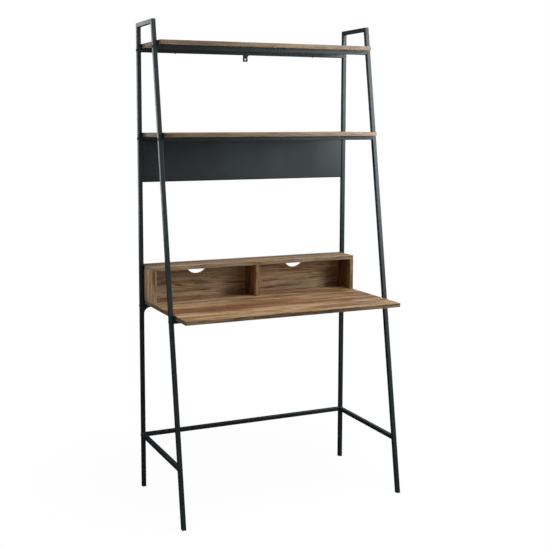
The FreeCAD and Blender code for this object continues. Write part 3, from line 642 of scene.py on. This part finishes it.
class SteelOperator(bpy.types.Operator):
    """Powder coat on frames, rails, plates, gussets, back panel and wall tab, zinc on the nuts"""
    bl_idname = "ladder_desk.steel"
    bl_label = "Steel frame"

    def execute(self, context):
        steel = context.scene.ladder_desk.steel
        coat = skin("powder_coat", tint=tuple(steel.coat), roughness=steel.roughness,
                    relief=steel.relief, pitch=0.0007, gloss=steel.gloss, sheen=tuple(steel.sheen))
        for subpart in frame["record"]["subparts"]:
            if subpart["material_slot"] == "powder_coat":
                dress(NODES[subpart["node"]], coat)
        zinc = skin("zinc_plate", tint=(0.55, 0.55, 0.53), roughness=0.32, relief=0.00001,
                    pitch=0.0005, metallic=1.0)
        for place in ("desk_rail", "middle_shelf_rail", "top_shelf_rail", "cross_bar"):
            dress(NODES[f"{place}_nuts"], zinc)
        return {"FINISHED"}


class FeetOperator(bpy.types.Operator):
    """Moulded plastic on the foot plugs"""
    bl_idname = "ladder_desk.feet"
    bl_label = "Foot plugs"

    def execute(self, context):
        plastic = skin("foot_plastic", tint=(0.012, 0.012, 0.012), roughness=0.55,
                       relief=0.00003, pitch=0.0009)
        for leg in ("front", "rear"):
            for side in ("left", "right"):
                dress(NODES[f"{leg}_foot_plug_{side}"], plastic)
        return {"FINISHED"}


class BoltsOperator(bpy.types.Operator):
    """Domed socket-head bolts in the side frames"""
    bl_idname = "ladder_desk.bolts"
    bl_label = "Bolts"

    def execute(self, context):
        sizes = context.scene.ladder_desk.fixings
        black = skin("black_oxide", tint=(0.016, 0.016, 0.017), roughness=0.34, relief=0.00001,
                     pitch=0.0006, metallic=0.6)
        leg_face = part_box("upper_rear_leg_right")[1].x
        for node in ("top_shelf_bolts", "middle_shelf_bolts", "desk_bolts", "cross_bar_bolts"):
            splits = [0] if node == "cross_bar_bolts" else [0, 1]
            copies = []
            for low, high in solid_boxes(node, splits):
                outwards = math.copysign(1.0, low[0] + high[0])
                head_height = max(abs(low[0]), abs(high[0])) - leg_face
                surface = fixing_surface(sizes.bolt_head, sizes.bolt_shank, head_height,
                                         (high[0] - low[0]) - head_height,
                                         lambda angle: hexagon(angle, sizes.socket),
                                         sizes.socket_depth)
                seat = (outwards * leg_face, (low[1] + high[1]) / 2, (low[2] + high[2]) / 2)
                copies.append(placed(surface, seat, (outwards, 0.0, 0.0)))
            piece = piece_from_grids(f"{node}_socket_head", np.array(copies))
            dress(piece, black)
            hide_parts(node)
        return {"FINISHED"}


class ScrewsOperator(bpy.types.Operator):
    """Pan-head cross-recess screws under the boards, in the hutch and in the back panel"""
    bl_idname = "ladder_desk.screws"
    bl_label = "Screws"

    head_height = 0.0019
    seat_gap = 0.0001

    def execute(self, context):
        sizes = context.scene.ladder_desk.fixings
        black = skin("black_phosphate", tint=(0.020, 0.020, 0.021), roughness=0.42, relief=0.00001,
                     pitch=0.0005, metallic=0.5)
        for node in ("top_shelf_screws", "middle_shelf_screws", "desk_screws"):
            boxes = solid_boxes(node, [0, 1])
            self.finish_piece(node, [self.upward(sizes, low, high) for low, high in boxes], black)
        self.finish_piece("hutch_screws", self.hutch_copies(sizes), black)
        self.finish_piece("back_panel_screws", self.panel_copies(sizes), black)
        return {"FINISHED"}

    def hutch_copies(self, sizes):
        """A front and a rear screw under the middle of each upright of the hutch."""
        rows = solid_boxes("hutch_screws", [1])
        reach = (rows[0][1][1] - rows[0][0][1]) / 2
        copies = []
        columns = (NODES["hutch_side_left"], NODES["hutch_divider"], NODES["hutch_side_right"])
        for column in columns:
            low_x, high_x = (corner.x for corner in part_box(column.name))
            middle = (low_x + high_x) / 2
            for low, high in rows:
                narrow_low = np.array((middle - reach, low[1], low[2]))
                narrow_high = np.array((middle + reach, high[1], high[2]))
                copies.append(self.upward(sizes, narrow_low, narrow_high))
        return copies

    def panel_copies(self, sizes):
        """Screws that point out of the back panel's ends into the rear legs."""
        copies = []
        for low, high in solid_boxes("back_panel_screws", [0, 2]):
            inwards = -math.copysign(1.0, low[0] + high[0])
            inner = min(abs(low[0]), abs(high[0]))
            seat = (-inwards * (inner + self.head_height), (low[1] + high[1]) / 2,
                    (low[2] + high[2]) / 2)
            copies.append(placed(self.surface(sizes, high[0] - low[0]), seat, (inwards, 0.0, 0.0)))
        return copies

    def surface(self, sizes, whole_length):
        return fixing_surface(sizes.screw_head, sizes.screw_shank, self.head_height,
                              whole_length - self.head_height,
                              lambda angle: cross(angle, sizes.recess), sizes.recess_depth)

    def upward(self, sizes, low, high):
        """A screw that points up from its head."""
        seat = ((low[0] + high[0]) / 2, (low[1] + high[1]) / 2,
                low[2] + self.head_height + self.seat_gap)
        return placed(self.surface(sizes, high[2] - low[2]), seat, (0.0, 0.0, -1.0))

    @staticmethod
    def finish_piece(node, copies, material):
        piece = piece_from_grids(f"{node}_cross_head", np.array(copies))
        dress(piece, material)
        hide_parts(node)


class WeldsOperator(bpy.types.Operator):
    """Weld beads of the stretchers, gussets and wall tab"""
    bl_idname = "ladder_desk.welds"
    bl_label = "Welds"

    setback = 0.001

    def execute(self, context):
        sizes = context.scene.ladder_desk.fixings
        lines = []
        for side in ("left", "right"):
            lines += self.stretcher(side) + self.gusset(side)
        lines += self.tab()
        starts, ends, first, second = zip(*lines)
        beads = weld_beads(starts, ends, first, second, sizes.bead, sizes.ripple)
        piece = piece_from_grids("frame_weld_beads", beads)
        dress(piece, bpy.data.materials["powder_coat"])
        return {"FINISHED"}

    def stretcher(self, side):
        """Beads over and under both ends of a side stretcher; its front end leans with the leg."""
        low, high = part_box(f"side_stretcher_{side}")
        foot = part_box(f"lower_front_leg_{side}")
        slope = (foot[1].y - foot[0].y - (high.x - low.x)) / (foot[1].z - foot[0].z)
        left, right = low.x + 2 * self.setback, high.x - 2 * self.setback
        front_low = low.y
        front_high = low.y + slope * (high.z - low.z)
        return [
            ((left, front_high, high.z), (right, front_high, high.z), (0, 0, 1), (0, 1, 0)),
            ((left, front_low, low.z), (right, front_low, low.z), (0, 0, -1), (0, 1, 0)),
            ((left, high.y, high.z), (right, high.y, high.z), (0, 0, 1), (0, -1, 0)),
            ((left, high.y, low.z), (right, high.y, low.z), (0, 0, -1), (0, -1, 0)),
        ]

    def gusset(self, side):
        """Beads on both faces of a gusset, along the leg and along the rail."""
        low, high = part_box(f"desk_gusset_{side}")
        leg_x, inner_x = (low.x, high.x) if side == "left" else (high.x, low.x)
        inwards = math.copysign(1.0, inner_x - leg_x)
        lines = []
        for face, outwards in ((low.y, -1.0), (high.y, 1.0)):
            lines.append(((leg_x, face, low.z + self.setback), (leg_x, face, high.z - self.setback),
                          (0, outwards, 0), (inwards, 0, 0)))
            lines.append(((leg_x + inwards * self.setback, face, high.z),
                          (inner_x - inwards * self.setback, face, high.z),
                          (0, outwards, 0), (0, 0, -1)))
        return lines

    def tab(self):
        """Bead along the front of the wall tab's root, short of the cove at its right."""
        low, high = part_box("wall_strap_tab")
        cove = 0.003
        return [((low.x + self.setback, low.y, high.z), (high.x - cove, low.y, high.z),
                 (0, -1, 0), (0, 0, -1))]


# Soft boxes: name, place, point aimed at, width and height in metres, power in watts.
LAMPS = (
    ("key_lamp", (1.7, -1.6, 2.02), (0.15, 0.0, 1.3), 0.78, 1.4, 36.5),
    ("fill_lamp", (1.5, -3.2, 1.2), (0.0, 0.0, 1.1), 1.6, 1.4, 6.0),
    ("top_lamp", (0.6, -1.2, 5.1), (0.0, -0.1, 0.8), 2.0, 2.0, 152.0),
    ("side_lamp", (-2.6, 0.9, 1.6), (-0.4, 0.1, 0.9), 1.2, 1.2, 12.0),
    ("rim_lamp", (-0.85, 1.15, 1.5), (-0.45, 0.0, 1.4), 0.3, 1.2, 4.5),
    ("shelf_lamp", (0.8, -1.0, 1.25), (0.45, 0.0, 1.60), 0.3, 0.3, 2.4),
)
SHELF_BEAM = math.radians(70.0)


class StudioOperator(bpy.types.Operator):
    """White floor and background, soft lamps, black felt for the reflections, and the camera"""
    bl_idname = "ladder_desk.studio"
    bl_label = "Studio"

    def execute(self, context):
        settings = context.scene.ladder_desk.studio
        self.floor(settings)
        self.world(context.scene, settings)
        self.flag()
        lamps = {row[0]: self.lamp(*row) for row in LAMPS}
        lamps["shelf_lamp"].data.spread = SHELF_BEAM
        lamps["shelf_lamp"].visible_glossy = False
        self.camera(context.scene, settings)
        return {"FINISHED"}

    @staticmethod
    def seen_rays(nodes):
        """One for the rays that see the background: camera, glossy and transmission rays."""
        path = nodes.add("ShaderNodeLightPath").outputs
        either = nodes.math("MAXIMUM", path["Is Camera Ray"], path["Is Glossy Ray"])
        return nodes.math("MAXIMUM", either, path["Is Transmission Ray"])

    @staticmethod
    def sheet(name, corners, faces, material):
        """Large plain sheet of a few corners and faces."""
        mesh = bpy.data.meshes.new(name)
        mesh.from_pydata(corners, [], faces)
        sheet = bpy.data.objects.new(name, mesh)
        bpy.context.scene.collection.objects.link(sheet)
        dress(sheet, material)
        return sheet

    def floor(self, settings):
        """Floor that turns to plain white beyond the object's shadow."""
        half_size, shadow_reach, white_from = 20.0, 0.5, 1.4
        material, nodes, surface = new_material("floor_paper")
        surface.inputs["Base Color"].default_value = (*settings.floor, 1.0)
        surface.inputs["Roughness"].default_value = 0.9
        surface.inputs["Specular IOR Level"].default_value = 0.0
        far = nodes.add("ShaderNodeVectorMath", operation="LENGTH")
        nodes.link(nodes.object_place(), far.inputs[0])
        white = nodes.spread(far.outputs["Value"], shadow_reach, white_from,
                             settings.floor_glow, 1.0)
        glow = nodes.add("ShaderNodeEmission")
        mixed = nodes.add("ShaderNodeMixShader")
        nodes.link(nodes.math("MULTIPLY", white, self.seen_rays(nodes)), mixed.inputs[0])
        nodes.link(surface.outputs[0], mixed.inputs[1])
        nodes.link(glow.outputs[0], mixed.inputs[2])
        output = next(node for node in material.node_tree.nodes if node.type == "OUTPUT_MATERIAL")
        nodes.link(mixed.outputs[0], output.inputs["Surface"])
        signs = ((-1, -1), (1, -1), (1, 1), (-1, 1))
        corners = [(half_size * x, half_size * y, 0.0) for x, y in signs]
        floor = self.sheet("studio_floor", corners, [(0, 1, 2, 3)], material)

    def world(self, scene, settings):
        """White to whatever sees it, and an even light of the ambient strength."""
        world = bpy.data.worlds.new("studio_world")
        world.use_nodes = True
        world.node_tree.nodes.clear()
        nodes = Nodes(world.node_tree)
        background = nodes.add("ShaderNodeBackground")
        background.inputs["Color"].default_value = (1.0, 1.0, 1.0, 1.0)
        strength = nodes.spread(self.seen_rays(nodes), 0.0, 1.0, settings.ambient, 1.0)
        nodes.link(strength, background.inputs["Strength"])
        output = nodes.add("ShaderNodeOutputWorld")
        nodes.link(background.outputs[0], output.inputs["Surface"])
        scene.world = world

    def flag(self):
        """Black felt behind, under and in front of the desk, seen only in reflections.

        It keeps a milky sheen off the steel and off the faces that are seen at a flat angle. The
        wall of felt behind the desk glows as a painted reflection: grey towards the right, and
        brighter in a strip at the heights that the hutch's top mirrors.
        """
        left, right = -2.5, 3.2
        front, front_top = -3.9, 3.2
        rear, rear_top = 1.3, 2.2
        low = 0.003
        strip_from, strip_to, strip_side, strip_glow = (0.95, 1.05), (1.25, 1.45), (-0.2, 0.2), 0.4
        grey_side, grey_glow = (-0.2, 1.4), 0.35
        wall_from = (1.0, rear)

        material, nodes, surface = new_material("flag_felt_and_reflection_glow")
        surface.inputs["Base Color"].default_value = (0.01, 0.01, 0.01, 1.0)
        surface.inputs["Specular IOR Level"].default_value = 0.0
        surface.inputs["Emission Color"].default_value = (1.0, 1.0, 1.0, 1.0)
        x, y, z = nodes.split(nodes.object_place())
        # The felt glows here, seen only in reflections: a painted reflection, grey towards the
        # right and brighter in the strip that the hutch's top mirrors.
        strip = nodes.math("MULTIPLY", nodes.spread(z, *strip_from),
                           nodes.spread(z, *strip_to, 1.0, 0.0))
        strip = nodes.math("MULTIPLY", strip, nodes.spread(x, *strip_side, 0.0, strip_glow))
        paler = nodes.math("MAXIMUM", strip, nodes.spread(x, *grey_side, 0.0, grey_glow))
        paler = nodes.math("MULTIPLY", paler, nodes.spread(y, *wall_from))
        nodes.link(paler, surface.inputs["Emission Strength"])

        rows = ((front, front_top), (front, low), (rear, low), (rear, rear_top))
        corners = [(x, y, z) for y, z in rows for x in (left, right)]
        faces = [(0, 1, 3, 2), (2, 3, 5, 4), (4, 5, 7, 6)]
        flag = self.sheet("studio_flag", corners, faces, material)
        flag.visible_camera = False
        flag.visible_diffuse = False
        flag.visible_shadow = False

    @staticmethod
    def lamp(name, place, target, width, height, power):
        """Soft box aimed at a point."""
        light = bpy.data.lights.new(name, "AREA")
        light.shape = "RECTANGLE"
        light.size = width
        light.size_y = height
        light.energy = power
        lamp = bpy.data.objects.new(name, light)
        lamp.location = place
        aim = np.array(target) - np.array(place)
        flat = math.hypot(aim[0], aim[1])
        lamp.rotation_euler = (math.atan2(flat, -aim[2]), 0.0, math.atan2(-aim[0], aim[1]))
        lamp.visible_camera = False
        bpy.context.scene.collection.objects.link(lamp)
        return lamp

    @staticmethod
    def camera(scene, settings):
        """Eye-level view from the front left, tilted down, with the frame shifted to the desk."""
        tilt, roll, turn = 6.2851, 0.1157, -23.0027
        data = bpy.data.cameras.new("desk_camera")
        data.sensor_width = 36.0
        data.lens = settings.lens
        data.shift_x = 0.0802
        data.shift_y = -0.0808
        camera = bpy.data.objects.new("desk_camera", data)
        camera.location = (-1.5835, -3.3418, 1.4436)
        camera.rotation_euler = (math.radians(90.0 - tilt), math.radians(roll), math.radians(turn))
        scene.collection.objects.link(camera)
        scene.camera = camera
        scene.view_settings.view_transform = "Standard"


class LadderDeskPanel(bpy.types.Panel):
    """Lists the pieces and their settings"""
    bl_idname = "LADDERDESK_PT_looks"
    bl_label = "Ladder desk"
    bl_space_type = "VIEW_3D"
    bl_region_type = "UI"
    bl_category = "Ladder desk"

    def draw(self, context):
        looks = context.scene.ladder_desk
        for operator in OPERATORS:
            self.layout.operator(operator.bl_idname)
        for group in (looks.laminate, looks.steel, looks.fixings, looks.studio):
            box = self.layout.box()
            for name in group.__annotations__:
                box.prop(group, name)


OPERATORS = (StudioOperator, BoardsOperator, HutchOperator, SteelOperator, FeetOperator,
             BoltsOperator, ScrewsOperator, WeldsOperator)
CLASSES = (LaminateFinish, CoatFinish, FixingSizes, StudioSettings, LadderDeskLooks,
           *OPERATORS, LadderDeskPanel)


def register():
    for item in CLASSES:
        bpy.utils.register_class(item)
    bpy.types.Scene.ladder_desk = PointerProperty(type=LadderDeskLooks)


def unregister():
    del bpy.types.Scene.ladder_desk
    for item in reversed(CLASSES):
        bpy.utils.unregister_class(item)


def main():
    register()
    for operator in OPERATORS:
        area, name = operator.bl_idname.split(".")
        getattr(getattr(bpy.ops, area), name)()


if __name__ == "__main__":
    main()
